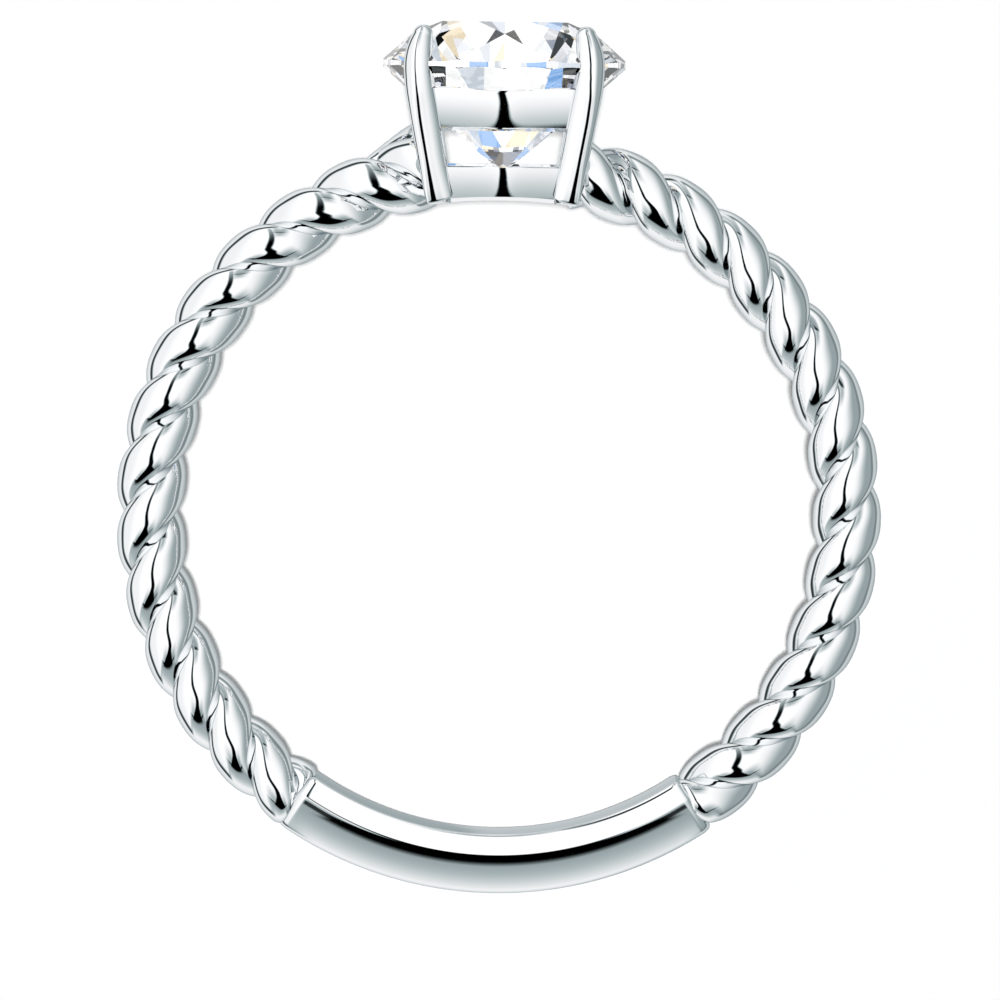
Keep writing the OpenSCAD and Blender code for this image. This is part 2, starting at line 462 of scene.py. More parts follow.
class Graph:
    """A node tree that is filled by name."""

    def __init__(self, tree: bpy.types.NodeTree) -> None:
        """Empties a tree to start from.

        Args:
            tree: The tree of a material or of the world.
        """
        tree.nodes.clear()
        self.tree = tree

    def add(self, kind: str, settings: dict | None = None,
            inputs: dict | None = None) -> bpy.types.Node:
        """Adds a node.

        Args:
            kind: The node's type.
            settings: Its own properties, set first.
            inputs: Values or links of its sockets, by name or number.

        Returns:
            The node.
        """
        node = self.tree.nodes.new(kind)
        for name, value in (settings or {}).items():
            setattr(node, name, value)
        for name, value in (inputs or {}).items():
            socket = node.inputs[name]
            if isinstance(value, bpy.types.NodeSocket):
                self.tree.links.new(value, socket)
            else:
                socket.default_value = value
        return node

    def mix(self, share: Wire, first: tuple, second: tuple) -> bpy.types.NodeSocket:
        """Mix of two colours by a share of the second."""
        colours = {0: share.socket, 6: first, 7: second}
        return self.add("ShaderNodeMix", {"data_type": "RGBA"}, colours).outputs[2]

    def noise(self, place: bpy.types.NodeSocket, per_mm: float, layers: float,
              weight: float) -> bpy.types.NodeSocket:
        """Adds an even noise.

        Args:
            place: Where it is asked for.
            per_mm: Its features per millimetre.
            layers: How many finer layers lie over them.
            weight: How strong each layer is beside the one before.

        Returns:
            Its height, between 0 and 1.
        """
        return self.add("ShaderNodeTexNoise", {}, {
            "Vector": place, "Scale": per_mm / MM, "Detail": layers,
            "Roughness": weight}).outputs["Fac"]

    def light(self, colour: object, strength: object) -> bpy.types.NodeSocket:
        """Light of a colour and a strength, each a value or a socket."""
        inputs = {"Color": colour, "Strength": strength}
        return self.add("ShaderNodeBackground", {}, inputs).outputs[0]


@dataclass(frozen=True)
class Finish:
    """A surface's finish. Each kind adds its own shader."""

    name: str

    def shader(self, graph: Graph) -> bpy.types.Node:
        """Adds the finish's shader to the material's graph."""
        raise NotImplementedError

    def build(self) -> bpy.types.Material:
        """Makes the material and joins the shader to its surface."""
        material = bpy.data.materials.new(self.name)
        material.use_nodes = True
        graph = Graph(material.node_tree)
        graph.add("ShaderNodeOutputMaterial", {}, {"Surface": self.shader(graph).outputs["BSDF"]})
        return material


@dataclass(frozen=True)
class PolishedSilver(Finish):
    """Mirror-polished silver.

    It has faint ripples from the polishing wheel and fine wipe marks. In the grooves between
    the strands its colour is darkened as painted shade, and it is rougher there.

    Attributes:
        rim: Tint of the metal where it is seen at a flat angle.
        wipe, ripple: Noise as features per millimetre, finer layers and their weight.
        wipe_marks: Heights of the wipe noise between which a mark comes up.
    """

    name: str = "polished_silver"
    bright: tuple = (0.93, 0.94, 0.95, 1.0)
    # Darker colour painted into the grooves as shade.
    crease_shade: tuple = (0.7, 0.74, 0.76, 1.0)
    rim: tuple = (0.5, 0.55, 0.57, 1.0)
    roughness: float = 0.03
    wipe_roughness: float = 0.05
    crease_roughness: float = 0.12
    wipe: tuple = (14.0, 2.0, 0.6)
    wipe_marks: tuple = (0.5, 0.75)
    ripple: tuple = (0.9, 1.0, 0.4)
    ripple_strength: float = 0.6
    ripple_depth_mm: float = 0.0008

    def shader(self, graph: Graph) -> bpy.types.Node:
        """Adds the metal: its roughness is the sum of the polish, the marks and the grooves'
        extra roughness, and its colour is darkened in the grooves as painted shade.

        Args:
            graph: The material's graph.

        Returns:
            The shader node.
        """
        place = graph.add("ShaderNodeTexCoord").outputs["Object"]
        marks = Wire(graph, graph.noise(place, *self.wipe)).rise(*self.wipe_marks)
        shelter = graph.add("ShaderNodeAttribute", {"attribute_name": "shelter"})
        depth = Wire(graph, shelter.outputs["Fac"])
        rough = self.roughness + marks * self.wipe_roughness + depth * self.crease_roughness
        bump = graph.add("ShaderNodeBump", {}, {
            "Height": graph.noise(place, *self.ripple), "Strength": self.ripple_strength,
            "Distance": self.ripple_depth_mm * MM})
        return graph.add("ShaderNodeBsdfPrincipled", {}, {
            # Painted shade: the base colour darkens deeper in the grooves between strands.
            "Base Color": graph.mix(depth, self.bright, self.crease_shade),
            "Metallic": 1.0,
            "Specular Tint": self.rim,
            "Roughness": rough.socket,
            "Normal": bump.outputs["Normal"]})


@dataclass(frozen=True)
class ClearStone(Finish):
    """Clear cut stone with polished facets."""

    name: str = "clear_stone"
    body: tuple = WHITE
    refraction: float = 2.17

    def shader(self, graph: Graph) -> bpy.types.Node:
        """Adds a clear body that bends the light that goes through."""
        return graph.add("ShaderNodeBsdfPrincipled", {}, {
            "Base Color": self.body, "Roughness": 0.0, "IOR": self.refraction,
            "Transmission Weight": 1.0})


@dataclass(frozen=True)
class PaleFloor(Finish):
    """Plain matt floor."""

    name: str = "pale_floor"
    colour: tuple = (0.93, 0.93, 0.93, 1.0)

    def shader(self, graph: Graph) -> bpy.types.Node:
        """Adds a matt shader of one colour."""
        return graph.add("ShaderNodeBsdfDiffuse", {}, {"Color": self.colour})


@dataclass
class RopeHalf(Assembly):
    """One half of the rope band: two strands twisted round each other.

    A strand's middle lies at an offset from the rope's middle, in a direction that turns
    half round in one lobe, so it is a helix wound on the ring. Its section across the ring
    is an ellipse, longer across the offset because the helix cuts it at a slant.

    Attributes:
        groove_deg: Angle from the stone at which the strands cross in the picture.
        lobe_pitch: Angle of the ring from one such crossing to the next, in degrees.
        crease_shade_from, crease_shade_rise: How far in, from -1 outside to 1 at the rope's
        middle, the painted shade in the groove starts, and how much further in it is full.
    """

    side: Side
    groove_deg: float
    strand_offset: float = 0.3
    lobe_pitch: float = 10.0
    swell: float = 0.1
    swell_reach: float = 25.0
    start_deg: float = 11.2
    end_deg: float = 147.0
    start_dome_deg: float = 1.2
    end_dome_deg: float = 2.5
    least_size: float = 0.02
    crease_shade_from: float = 0.35
    crease_shade_rise: float = 0.6
    rings_per_lobe: int = 26
    section_points: int = 56
    sharp_deg: float = 60.0

    @property
    def strand_r(self) -> float:
        """Radius of a strand."""
        return self.sizes.rope_d / 2 - self.strand_offset

    @property
    def strand_half_w(self) -> float:
        """Half width of a strand's slanting section across the offset."""
        twist_length = 2 * math.radians(self.lobe_pitch) * self.sizes.rope_path_r
        return self.strand_r / math.cos(math.atan(2 * math.pi * self.strand_offset / twist_length))

    def strand(self, number: int) -> Surface:
        """Works out one strand.

        Args:
            number: 0 for the strand in front at the first groove, 1 for the other.

        Returns:
            Its surface: at each angle of the ring, the offset turns by 180 degrees times the
            angle past the first groove over the lobe pitch. The section grows by the swell
            towards the stone and shrinks like a dome at both ends.
        """
        stations = int((self.end_deg - self.start_deg) / self.lobe_pitch * self.rings_per_lobe)
        angle = np.linspace(self.start_deg, self.end_deg, stations)[:, None]
        signed = angle * self.side.value
        past = signed - self.groove_deg * self.side.value
        turn = np.radians(180 * past / self.lobe_pitch + 90 + 180 * number)
        size = 1 + self.swell * ease(1 - (angle - self.start_deg) / self.swell_reach)
        offset = self.strand_offset * size
        end = dome(self.end_deg - angle, self.end_dome_deg)
        start = dome(angle - self.start_deg, self.start_dome_deg)
        size = size * np.maximum(end * start, self.least_size)
        around = np.linspace(0, 2 * math.pi, self.section_points, endpoint=False)[None, :]
        along = size * self.strand_r * np.cos(around)
        across = size * self.strand_half_w * np.sin(around)
        radius = self.sizes.rope_path_r + (offset + along) * np.cos(turn) - across * np.sin(turn)
        z = (offset + along) * np.sin(turn) + across * np.cos(turn)
        inner = -np.cos(around) * np.ones_like(angle)
        # Painted shade: the share of darkening on the strand's side that faces the other strand.
        crease_shade = ease((inner - self.crease_shade_from) / self.crease_shade_rise)
        return skin(ring_points(signed, radius, z), crease_shade)

    def build(self) -> list[bpy.types.Object]:
        """Makes the half's two strands."""
        name = f"rope_strand_{self.side.name.lower()}"
        return [self.add_piece(f"{name}_{number + 1}", self.strand(number), self.sharp_deg)
                for number in (0, 1)]


@dataclass
class BackPlate(Assembly):
    """The smooth plate opposite the stone.

    Its section is a chain of arcs that meet smoothly, mirrored about the ring's plane, and
    starts level at the ridge on each side. Outwards, tight arcs turn it quickly and flatter
    ones lead to the outer face. Inwards, a nearly flat band ends in a tight arc and the
    rounded edge of the inner face.

    Attributes:
        outward: Arcs from the ridge outwards, as tilt in degrees at which each ends and radius.
        knee_deg: Tilt at which the two arcs meet that complete the outer side.
        inward: Arcs from the ridge inwards, in the same form as outward.
    """

    angle_deg: float = 70.0
    ridge_r: float = 9.145
    ridge_half_w: float = 0.99
    outward: tuple = ((17.0, 0.2), (25.0, 0.3), (29.0, 3.6))
    knee_deg: float = 45.0
    inward: tuple = ((2.2, 11.0), (19.0, 0.2))
    end_dome_deg: float = 1.6
    end_share: float = 0.82
    stations: int = 180
    arc_points: int = 10
    sharp_deg: float = 40.0

    def chain(self, arcs: tuple) -> np.ndarray:
        """Points of a chain of arcs that starts level at the ridge.

        Args:
            arcs: Tilt in degrees at which each arc ends, and its radius.

        Returns:
            Rows of distance from the ridge and drop below it, with the ridge first. An arc
            adds its radius times the rise of the tilt's sine to the distance, and times the
            fall of its cosine to the drop.
        """
        rows = [np.zeros((1, 2))]
        before = 0.0
        for tilt, radius in arcs:
            turn = np.radians(np.linspace(before, tilt, self.arc_points + 1))
            reach, drop = np.sin(turn) - math.sin(turn[0]), math.cos(turn[0]) - np.cos(turn)
            rows.append(rows[-1][-1] + radius * np.stack([reach, drop], axis=1)[1:])
            before = tilt
        return np.concatenate(rows)

    def outer_arcs(self) -> tuple:
        """Completes the outward arcs up to the outer face at the ring's plane.

        Returns:
            The arcs and two more. Their radii solve a pair of equations: their reaches add
            up to what is left to the outer radius, and their drops to the height that is
            left above the ring's plane.
        """
        end = self.chain(self.outward)[-1]
        left = np.array([self.sizes.plate_out_r - self.ridge_r, self.ridge_half_w]) - end
        start, knee = math.radians(self.outward[-1][0]), math.radians(self.knee_deg)
        shares = np.array([[math.sin(knee) - math.sin(start), 1 - math.sin(knee)],
                           [math.cos(start) - math.cos(knee), math.cos(knee)]])
        first, second = np.linalg.solve(shares, left)
        return (*self.outward, (self.knee_deg, float(first)), (90.0, float(second)))

    def inner_arcs(self) -> tuple:
        """Completes the inward arcs by the rounded edge that reaches the inner face.

        Returns:
            The arcs and that edge, whose radius is the reach that is left over 1 less the
            sine of the tilt before it.
        """
        reach, tilt = self.chain(self.inward)[-1][0], self.inward[-1][0]
        left = self.ridge_r - self.sizes.plate_in_r - reach
        return (*self.inward, (90.0, left / (1 - math.sin(math.radians(tilt)))))

    def section(self) -> np.ndarray:
        """Works out the closed outline of the section.

        Returns:
            Rows of radius and distance from the ring's plane: one side from the inner face
            over the ridge to the outer face, and its mirror image back.
        """
        outer, inner = self.chain(self.outer_arcs()), self.chain(self.inner_arcs())
        front = np.concatenate([
            np.stack([self.ridge_r - inner[::-1, 0], self.ridge_half_w - inner[::-1, 1]], axis=1),
            np.stack([self.ridge_r + outer[1:, 0], self.ridge_half_w - outer[1:, 1]], axis=1)])
        return np.concatenate([front, (front * [1, -1])[-2::-1]])

    def build(self) -> list[bpy.types.Object]:
        """Makes the plate by carrying its section round the ring.

        Returns:
            The piece. Its ends are drawn in towards the section's middle like a dome.
        """
        first = 180 - self.angle_deg / 2
        angle = np.linspace(first, first + self.angle_deg, self.stations)[:, None]
        to_end = np.minimum(angle - first, first + self.angle_deg - angle)
        size = self.end_share + (1 - self.end_share) * dome(to_end, self.end_dome_deg)
        outline = self.section()
        middle = (self.sizes.plate_in_r + self.sizes.plate_out_r) / 2
        radius = middle + size * (outline[None, :, 0] - middle)
        rings = ring_points(angle, radius, size * outline[None, :, 1])
        return [self.add_piece("back_plate", skin(rings), self.sharp_deg)]


@dataclass
class Setting(Assembly):
    """The setting: four prongs, the arms that join them to the rope, and two rails.

    Attributes:
        prong_stations: Rows of half spacing of the prongs' middles, height above the finger
            opening and wire radius.
        prong_flat, flat_fade: Depth of the prongs' three flats for a wire of radius 1, and
            the share of it that is lost between the heights round_from and round_to.
        low_arm, high_arm: An arm's stations, as distances across the ring, above the finger
            opening and along the finger, and wire radius.
        foot_bevel, foot_bevel_share: Height of the bevel round a prong's foot, and the share
            of the section that it takes away.
        bar_bow, bar_ridge: How far the middle of a rail's bar stands out, and how rounded
            the ridge there is.
    """

    prong_stations: tuple = (
        (1.62, -0.27, 0.37), (1.75, 0.20, 0.38), (1.87, 0.83, 0.38), (1.985, 1.47, 0.385),
        (2.12, 2.23, 0.395), (2.24, 2.97, 0.405), (2.29, 3.53, 0.395), (2.28, 3.83, 0.38),
        (2.24, 4.08, 0.345), (2.20, 4.27, 0.305), (2.17, 4.38, 0.27),
    )
    prong_flat: float = 0.085
    flat_fade: float = 0.75
    round_from: float = 2.0
    round_to: float = 3.6
    prong_corner: float = 0.015
    foot_square: float = 0.05
    foot_square_reach: float = 1.2
    prong_rings: int = 150
    prong_window: int = 13
    prong_points: int = 72
    prong_sharp_deg: float = 50.0
    tip_rings: int = 16
    low_arm: tuple = ((2.05, 0.9, 0.35, 0.34), (1.98, 0.95, 1.1, 0.34), (1.9, 1.0, 1.75, 0.33))
    high_arm: tuple = ((3.3, 0.72, 0.2, 0.5), (2.75, 1.18, 0.5, 0.5),
                       (2.35, 1.55, 1.15, 0.45), (2.06, 1.7, 1.85, 0.38))
    arm_rings: int = 60
    arm_window: int = 17
    underside_r: float = 14.0
    foot_bevel: float = 0.17
    foot_bevel_share: float = 0.32
    seat_gap: float = 0.02
    base_rail_h: float = 0.91
    window_h: float = 0.94
    upper_rail_h: float = 1.17
    rail_wall: float = 0.36
    rail_bevel: float = 0.1
    rail_top_bevel: float = 0.05
    bar_bow: float = 0.29
    bar_ridge: float = 0.2
    base_slope: float = 0.15
    upper_slope: float = 0.2
    slope_loss: float = 0.72
    bar_points: int = 72
    face_points: int = 28
    rail_sharp_deg: float = 18.0

    def spacing(self, height: np.ndarray) -> np.ndarray:
        """Half spacing of the prongs' middles at a height above the finger opening."""
        table = np.array(self.prong_stations)
        return np.interp(height, table[:, 1], table[:, 0])

    def underside(self, x: np.ndarray) -> np.ndarray:
        """Height of the setting's underside above the ring's centre: a flat arc."""
        radius = self.underside_r
        return self.sizes.opening_r - radius + np.sqrt(radius ** 2 - x ** 2)

    def seat(self, points: np.ndarray) -> np.ndarray:
        """Presses points out of the stone, so that a prong has the notch that holds it.

        Args:
            points: Points of a prong.

        Returns:
            The points, those that are too near to the stone's axis moved straight out to the
            cone of the crown or of the pavilion and a gap. A cone's radius is the stone's
            less the height beyond the girdle over the tangent of the cut angle.
        """
        s = self.sizes
        above = np.maximum(points[..., 1] - s.girdle_top, 0) / tan_deg(s.crown_angle)
        below = np.maximum(s.girdle_low - points[..., 1], 0) / tan_deg(s.pavilion_angle)
        limit = s.stone_r + self.seat_gap - above - below
        limit = np.where(points[..., 1] > s.table_height, 0, limit)
        reach = np.hypot(points[..., 0], points[..., 2])
        grow = np.maximum(limit, reach) / np.maximum(reach, TINY)
        return np.stack([points[..., 0] * grow, points[..., 1], points[..., 2] * grow], axis=-1)

    def trim(self, points: np.ndarray) -> np.ndarray:
        """Lowers points out of the stone.

        Args:
            points: Points of a rail.

        Returns:
            The points, at most as high as the pavilion's cone and a gap below it.
        """
        s = self.sizes
        inside = s.stone_r + self.seat_gap - np.hypot(points[..., 0], points[..., 2])
        cone = s.girdle_low - np.maximum(inside, 0) * tan_deg(s.pavilion_angle)
        level = np.minimum(points[..., 1], cone)
        return np.stack([points[..., 0], level, points[..., 2]], axis=-1)

    def arm(self, side: Side, end: End) -> Surface:
        """Works out the arm that joins the rope's end to one prong.

        Args:
            side: The half of the ring that the prong is on.
            end: The end of the finger opening that it is at.

        Returns:
            Its surface, a round wire along a smooth curve. The left rear one leaves the rope
            earlier and lies higher.
        """
        high = (side, end) == (Side.LEFT, End.REAR)
        stations = np.array(self.high_arm if high else self.low_arm)
        table = stations * [side.value, 1, end.value, 1] + [0, self.sizes.opening_r, 0, 0]
        steps = np.linalg.norm(np.diff(table[:, :3], axis=0), axis=1)
        return tube(smooth_line(table, steps, self.arm_rings, self.arm_window))

    def prong_line(self) -> tuple[np.ndarray, ...]:
        """Works out the line that a prong's wire follows, in the upright plane of its corner.

        Returns:
            Columns of half spacing, height above the finger opening, wire radius and lean
            outwards in radians. Past the last station the wire closes in a dome: its radius
            falls with the cosine while the line goes straight on with the sine.
        """
        table = np.array(self.prong_stations)
        steps = np.hypot(np.diff(table[:, 0]) * ROOT_2, np.diff(table[:, 1]))
        half, height, wire = smooth_line(table, steps, self.prong_rings, self.prong_window).T
        rise = np.linspace(0, math.pi / 2, self.tip_rings + 1)[1:-1]
        step = np.array([ROOT_2 * (half[-1] - half[-2]), height[-1] - height[-2]])
        step /= np.linalg.norm(step)
        half = np.concatenate([half, half[-1] + wire[-1] * np.sin(rise) * step[0] / ROOT_2])
        height = np.concatenate([height, height[-1] + wire[-1] * np.sin(rise) * step[1]])
        wire = np.concatenate([wire, wire[-1] * np.cos(rise)])
        lean = np.arctan2(np.gradient(ROOT_2 * half), np.gradient(height))
        lean[-len(rise):] = lean[-len(rise) - 1]
        return tuple(column[:, None] for column in (half, height, wire, lean))

    def prong_section(self, height: np.ndarray) -> tuple[np.ndarray, np.ndarray]:
        """Works out a prong's section for a wire of radius 1.

        Args:
            height: Column of heights above the finger opening.

        Returns:
            Distances outwards and across, one row per height. The tangent that faces a
            degrees from straight out lies at 1 + f cos 3a - c cos 6a + q cos 4a from the
            middle, for a flat f that fades upwards, a corner c and a squareness q that fades
            from the foot. It touches the section beside that by the change of it with a.
        """
        facing = np.linspace(0, 2 * math.pi, self.prong_points, endpoint=False)[None, :]
        fade = ease((height - self.round_from) / (self.round_to - self.round_from))
        flat = self.prong_flat * (1 - self.flat_fade * fade)
        square = self.foot_square * ease(1 - height / self.foot_square_reach)
        corner = self.prong_corner
        tangent = (1 + flat * np.cos(3 * facing) - corner * np.cos(6 * facing)
                   + square * np.cos(4 * facing))
        change = (-3 * flat * np.sin(3 * facing) + 6 * corner * np.sin(6 * facing)
                  - 4 * square * np.sin(4 * facing))
        return (tangent * np.cos(facing) - change * np.sin(facing),
                tangent * np.sin(facing) + change * np.cos(facing))

    def prong(self, side: Side, end: End) -> Surface:
        """Works out one prong.

        Args:
            side: The half of the ring that it is on.
            end: The end of the finger opening that it is at.

        Returns:
            Its surface: the section carried along the line and square to it, drawn in at the
            bevel of its foot, cut off by the underside and pressed out of the stone.
        """
        half, height, wire, lean = self.prong_line()
        out, across = self.prong_section(height)
        foot = self.sizes.opening_r + height - self.underside(half)
        bevel = 1 - self.foot_bevel_share * (1 - np.clip(foot / self.foot_bevel, 0, 1))
        out, across = wire * out, wire * across * bevel
        radial = ROOT_2 * half + bevel * out * np.cos(lean)
        level = self.sizes.opening_r + height - bevel * out * np.sin(lean)
        diagonal = 1 / ROOT_2
        x = side.value * diagonal * radial - end.value * diagonal * across
        z = end.value * diagonal * radial + side.value * diagonal * across
        level = np.maximum(level, self.underside(x))
        return skin(self.seat(np.stack([x, level, z], axis=-1)))

    def bar_reach(self, along: np.ndarray, half: np.ndarray) -> np.ndarray:
        """Distance of a bar's face from the setting's axis, at a place along the bar.

        It is furthest at a rounded ridge in the bar's middle, and falls along a hyperbola
        to the half spacing of the prongs at its ends.

        Args:
            along: Place along the bar, 0 in its middle.
            half: Half the bar's length.

        Returns:
            The half length plus the bow times 1 less the hyperbola's share of its whole fall.
        """
        fall = np.hypot(along, self.bar_ridge) - self.bar_ridge
        whole = np.hypot(half, self.bar_ridge) - self.bar_ridge
        return half + self.bar_bow * (1 - fall / whole)

    def rail(self, low: float, high: float, slope: float, follows_underside: bool) -> Surface:
        """Works out one rail.

        Args:
            low: Height of its lower edge above the finger opening.
            high: Height of its upper edge.
            slope: How steeply its outer face leans out at the foot.
            follows_underside: True if its lower edge is cut by the underside's arc.

        Returns:
            Its surface: a section carried round the four bars. Its outer face stands out by
            rise times slope times s (1 - l s) at a share s of its height, for a loss l.
            The half length of a bar runs evenly from the prongs' half spacing at the lower
            edge to that at the upper one.
        """
        rise = high - low
        share = np.linspace(self.rail_bevel / rise, 1, self.face_points)
        bulge = rise * slope * share * (1 - self.slope_loss * share)
        inner, top = -self.rail_wall, self.rail_top_bevel
        offset = np.concatenate([
            [inner, bulge[0] - self.rail_bevel], bulge, [bulge[-1] - top, inner]])
        height = np.concatenate([
            [low, low], low + rise * share - top * (share == 1), [high, high]])
        at = (2 * (np.arange(self.bar_points) + 0.5) / self.bar_points - 1)[:, None]
        edges = np.array([low, high])
        half = np.interp(height, edges, self.spacing(edges))[None, :]
        along = half * at
        x = along * (1 + offset / half)
        z = self.bar_reach(along, half) + offset
        level = np.broadcast_to(self.sizes.opening_r + height, x.shape)
        rings = np.concatenate([
            np.stack([x * cosine + z * sine, level, z * cosine - x * sine], axis=-1)
            for cosine, sine in ((1, 0), (0, 1), (-1, 0), (0, -1))])
        if follows_underside:
            drop = self.underside(rings[..., 0]) - self.sizes.opening_r
            near = np.clip(1 - (rings[..., 1] - self.sizes.opening_r - low) / rise, 0, 1)
            rings[..., 1] += drop * near
        return skin(self.trim(rings), loop=True)

    def build(self) -> list[bpy.types.Object]:
        """Makes the rails, the prongs and the arms."""
        upper_low = self.base_rail_h + self.window_h
        upper_high = upper_low + self.upper_rail_h
        rails = {"base_rail": self.rail(0, self.base_rail_h, self.base_slope, True),
                 "upper_rail": self.rail(upper_low, upper_high, self.upper_slope, False)}
        pieces = [self.add_piece(name, rail, self.rail_sharp_deg) for name, rail in rails.items()]
        for side in Side:
            for end in End:
                place = f"{end.name}_{side.name}".lower()
                for kind, shape in (("prong", self.prong), ("arm", self.arm)):
                    name = f"{kind}_{place}"
                    pieces.append(self.add_piece(name, shape(side, end), self.prong_sharp_deg))
        return pieces


@dataclass
class Brilliant(Assembly):
    """The stone: a round brilliant cut with 57 facets and a scalloped girdle.

    The facets are planes. Between the points where the main facets meet the girdle, the
    girdle's edges follow the cut of the half facets' planes with the stone's cylinder.

    Attributes:
        star_share: How far the star facets reach from the table towards the girdle.
        lower_half_share: How far the lower half facets reach from the girdle to the axis.
    """

    mains: int = 8
    star_share: float = 0.5
    lower_half_share: float = 0.77
    half_steps: int = 8

    @property
    def half_turn(self) -> float:
        """Half the angle between two main facets, in degrees."""
        return 180 / self.mains

    def circle(self, radius: float, height: float, start: float) -> np.ndarray:
        """Eight points round the stone's axis, the first at an angle in degrees from Z."""
        turn = np.radians(start + 360 / self.mains * np.arange(self.mains))
        level = np.full(self.mains, height)
        return np.stack([radius * np.sin(turn), level, radius * np.cos(turn)], axis=1)

    def corners(self) -> tuple[np.ndarray, ...]:
        """Works out the corners that don't lie on the girdle.

        Returns:
            Those of the table, of the star facets' tips and of the lower half facets' tips,
            and the culet. A tip lies on the planes of the main facets beside it, so it is
            away from the girdle's height by the tangent of the cut angle times what its
            radius times the half turn's cosine leaves of the stone's radius.
        """
        s = self.sizes
        inward = math.cos(math.radians(self.half_turn))
        crown, pavilion = tan_deg(s.crown_angle), tan_deg(s.pavilion_angle)
        star_in = s.table_r * inward
        star_r = star_in + self.star_share * (s.stone_r - star_in)
        star_height = s.girdle_top + (s.stone_r - star_r * inward) * crown
        ridge_r = s.stone_r * (1 - self.lower_half_share)
        ridge_height = s.girdle_low - (s.stone_r - ridge_r * inward) * pavilion
        return (self.circle(s.table_r, s.table_height, self.half_turn),
                self.circle(star_r, star_height, 2 * self.half_turn),
                self.circle(ridge_r, ridge_height, 2 * self.half_turn),
                np.array([[0.0, s.girdle_low - s.stone_r * pavilion, 0.0]]))

    def cut(self, tip: np.ndarray, main: np.ndarray, between: np.ndarray,
            turn: np.ndarray) -> np.ndarray:
        """Points of the girdle's edge along one half facet.

        Args:
            tip: The half facet's far corner.
            main: Its corner on the girdle at the main facet.
            between: Its corner on the girdle between two main facets.
            turn: Angles of the points about the axis, in radians.

        Returns:
            The points where the plane through the three corners meets the cylinder.
        """
        normal = np.cross(main - tip, between - tip)
        x, z = self.sizes.stone_r * np.sin(turn), self.sizes.stone_r * np.cos(turn)
        y = tip[1] - (normal[0] * (x - tip[0]) + normal[2] * (z - tip[2])) / normal[1]
        return np.stack([x, y, z], axis=1)

    def rim(self, tips: np.ndarray, height: float) -> np.ndarray:
        """Points of one whole edge of the girdle.

        Args:
            tips: Far corners of the half facets on its side of the girdle.
            height: Height at which these facets' other corners lie.

        Returns:
            The points, from one main facet to the next in two half facets each.
        """
        radius = self.sizes.stone_r
        grid = np.linspace(0, 1, self.half_steps, endpoint=False)
        starts = np.radians(self.half_turn * (1 + 2 * np.arange(self.mains)))
        edges = []
        for tip, start in zip(tips, starts):
            middle = start + math.radians(self.half_turn)
            stop = start + math.radians(2 * self.half_turn)
            main, between, after = (
                np.array([radius * math.sin(turn), height, radius * math.cos(turn)])
                for turn in (start, middle, stop))
            edges.append(self.cut(tip, main, between, start + (middle - start) * grid))
            edges.append(self.cut(tip, after, between, middle + (stop - middle) * grid))
        return np.concatenate(edges)

    def facets(self, star: int, top: int, low: int, ridge: int, tip: int) -> list[list[int]]:
        """Lists the facets as numbers of corners.

        Args:
            star: Number of the first star facet's tip.
            top: Number of the first point on the girdle's upper edge.
            low: Number of the first point on its lower edge.
            ridge: Number of the first lower half facets' tip.
            tip: Number of the culet.

        Returns:
            The table, then from one main facet to the next the star, the main and the two
            half facets above and the main and the two half facets below, then the girdle.
        """
        n, steps = self.mains, self.half_steps
        rim = 2 * steps * n
        faces = [list(range(n))]
        for k in range(n):
            after, before = (k + 1) % n, (k - 1) % n
            here = 2 * steps * k
            first = [(here + j) % rim for j in range(steps + 1)]
            second = [(here + steps + j) % rim for j in range(steps + 1)]
            faces += [
                [k, star + k, after],
                [k, star + before, top + here, star + k],
                [star + k, *[top + j for j in first]],
                [star + k, *[top + j for j in second]],
                [tip, ridge + k, low + here, ridge + before],
                [ridge + k, *[low + j for j in reversed(first)]],
                [ridge + k, *[low + j for j in reversed(second)]],
            ]
        for j in range(rim):
            faces.append([top + j, low + j, low + (j + 1) % rim, top + (j + 1) % rim])
        return faces

    def surface(self) -> Surface:
        """Works out the whole stone, each facet one flat face."""
        table, stars, ridges, culet = self.corners()
        upper = self.rim(stars, self.sizes.girdle_top)
        lower = self.rim(ridges, self.sizes.girdle_low)
        blocks = [table, stars, upper, lower, ridges, culet]
        starts = np.cumsum([len(block) for block in blocks])[:-1].tolist()
        return Surface(np.concatenate(blocks), self.facets(*starts))

    def build(self) -> list[bpy.types.Object]:
        """Makes the stone, with flat facets that face outwards and no shadow."""
        piece = self.add_piece("brilliant_stone", self.surface(), None)
        turn_outwards(piece.data)
        piece.visible_shadow = False
        return [piece]


def turn_outwards(mesh: bpy.types.Mesh) -> None:
    """Recalculates a closed mesh's normals so that every face points outwards."""
    work = bmesh.new()
    work.from_mesh(mesh)
    bmesh.ops.recalc_face_normals(work, faces=work.faces)
    work.to_mesh(mesh)
    work.free()


class Step(NamedTuple):
    """A smooth step from 0 at low to its size at high."""

    low: float
    high: float
    size: float = 1.0

    def at(self, value: Wire) -> Wire:
        """The step's height at a value."""
        return value.rise(self.low, self.high) * self.size


